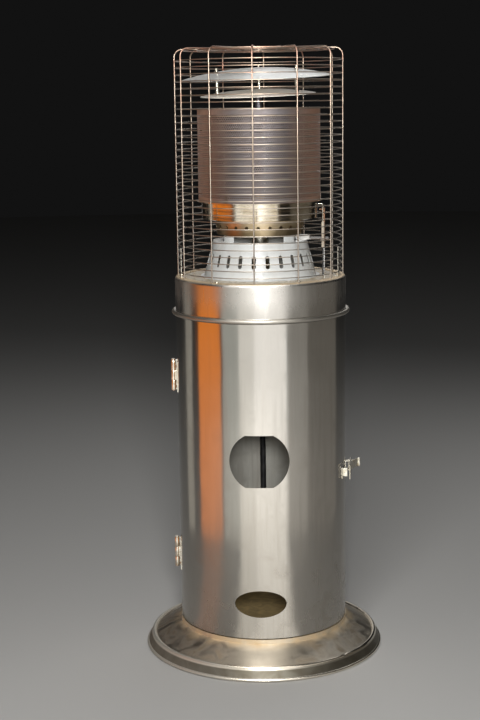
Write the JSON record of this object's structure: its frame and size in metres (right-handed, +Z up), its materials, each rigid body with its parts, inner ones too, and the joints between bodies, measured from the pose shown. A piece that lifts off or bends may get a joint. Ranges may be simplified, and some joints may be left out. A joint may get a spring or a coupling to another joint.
{
  "type": "gas patio heater",
  "caption": "Free-standing outdoor gas heater: hinged steel cylinder for the bottle on a spun base, slotted burner skirt, perforated emitter under reflector discs, wire guard.",
  "frame": {"origin": "middle of the base, on the ground", "axes": "+Z up, -Y out of the door side, +X to the latch"},
  "size_m": [0.5699, 0.57, 1.4165],
  "materials": {
    "stainless": "satin stainless sheet, smudged",
    "base_steel": "satin stainless sheet, stained",
    "plate_enamel": "grey enamel, heat marked",
    "white_enamel": "white vitreous enamel, slightly soiled",
    "bowl_steel": "stainless, straw heat tint",
    "emitter_steel": "perforated stainless, heat tinted",
    "cap_steel": "stainless, heat tinted",
    "guard_wire": "plated wire, heat tinted near the top",
    "bracket_steel": "plated strip",
    "zinc": "bright zinc plate",
    "brass": "machined brass",
    "aluminium_pipe": "drawn tube",
    "copper": "copper sheath",
    "ceramic": "white ceramic",
    "black_plastic": "moulded, matt",
    "red_plastic": "moulded, gloss",
    "hose_rubber": "smooth rubber",
    "regulator_grey": "painted die casting"
  },
  "bodies": {
    "housing": {"base_pan": "base_steel", "burner_bowl": "bowl_steel", "burner_skirt": "white_enamel", "burner_standoffs": "white_enamel", "collar": "stainless", "emitter_cap": "cap_steel", "emitter_clips": "cap_steel", "emitter_screen": "emitter_steel", "feed_pipe": "aluminium_pipe", "flange_screws": "zinc", "frame_rivets": "zinc", "gas_hose": "hose_rubber", "gas_valve": "brass", "guard_brackets": "bracket_steel", "guard_rings_lower": "guard_wire", "guard_rings_upper": "guard_wire", "guard_top_rings": "guard_wire", "guard_uprights": "guard_wire", "hinge_frame_leaves": "zinc", "hinge_pins": "zinc", "hose_ferrules": "zinc", "hose_nipple": "brass", "igniter_insulator": "ceramic", "igniter_lead": "hose_rubber", "igniter_wire": "zinc", "injector": "brass", "injector_nut": "brass", "latch_base": "zinc", "latch_pivot_pin": "zinc", "lower_reflector": "white_enamel", "mixing_tube": "zinc", "pilot_bracket": "white_enamel", "pilot_burner": "brass", "pilot_pipe": "aluminium_pipe", "push_igniter": "black_plastic", "rear_shell": "stainless", "reflector_bolts": "zinc", "reflector_nuts": "zinc", "reflector_spacers": "zinc", "reflector_stem": "cap_steel", "regulator": "regulator_grey", "regulator_bonnet": "regulator_grey", "shell_rivets": "zinc", "thermocouple": "copper", "thermocouple_lead": "copper", "tilt_switch": "black_plastic", "top_plate": "plate_enamel", "upper_reflector": "white_enamel", "valve_bracket": "bracket_steel"},
    "door": {"door_shell": "stainless", "hinge_door_leaves": "zinc", "latch_keeper": "zinc", "door_rivets": "zinc"},
    "lever": {"latch_lever": "zinc"},
    "bail": {"latch_bail": "zinc"},
    "spindle": {"valve_spindle": "brass"},
    "knob": {"control_knob": "black_plastic"},
    "button": {"igniter_button": "red_plastic"},
    "wheel": {"hand_wheel": "black_plastic"}
  },
  "joints": [
    {"name": "door_swing", "type": "hinge", "parent": "housing", "child": "door", "pos_m": [-0.209, 0, 0.439], "axis": [0, 0, -1], "range_deg": [0, 120]},
    {"name": "lever_turn", "type": "hinge", "parent": "housing", "child": "lever", "pos_m": [0.20786, 0.02185, 0.43], "axis": [0, 0, -1], "range_deg": [-38, 76]},
    {"name": "bail_turn", "type": "hinge", "parent": "lever", "child": "bail", "pos_m": [0.21255, 0.03068, 0.43], "axis": [0, 0, -1], "range_deg": [-82, 41]},
    {"name": "knob_press", "type": "slide", "parent": "housing", "child": "spindle", "axis": [0, -1, 0], "range_m": [0, 0.004], "stiffness_N_per_m": 1500},
    {"name": "knob_turn", "type": "hinge", "parent": "spindle", "child": "knob", "pos_m": [0, 0.215, 0.857], "axis": [0, 1, 0], "range_deg": [0, 180]},
    {"name": "igniter_press", "type": "slide", "parent": "housing", "child": "button", "axis": [-0.3907, -0.9205, 0], "range_m": [0, 0.006], "stiffness_N_per_m": 1200},
    {"name": "wheel_turn", "type": "hinge", "parent": "housing", "child": "wheel", "pos_m": [-0.003, 0.167, 0.2], "axis": [0, 0, 1], "continuous": true}
  ],
  "couplings": [
    {"joint": "bail_turn", "follows": "lever_turn", "ratio": -1.0658}
  ]
}
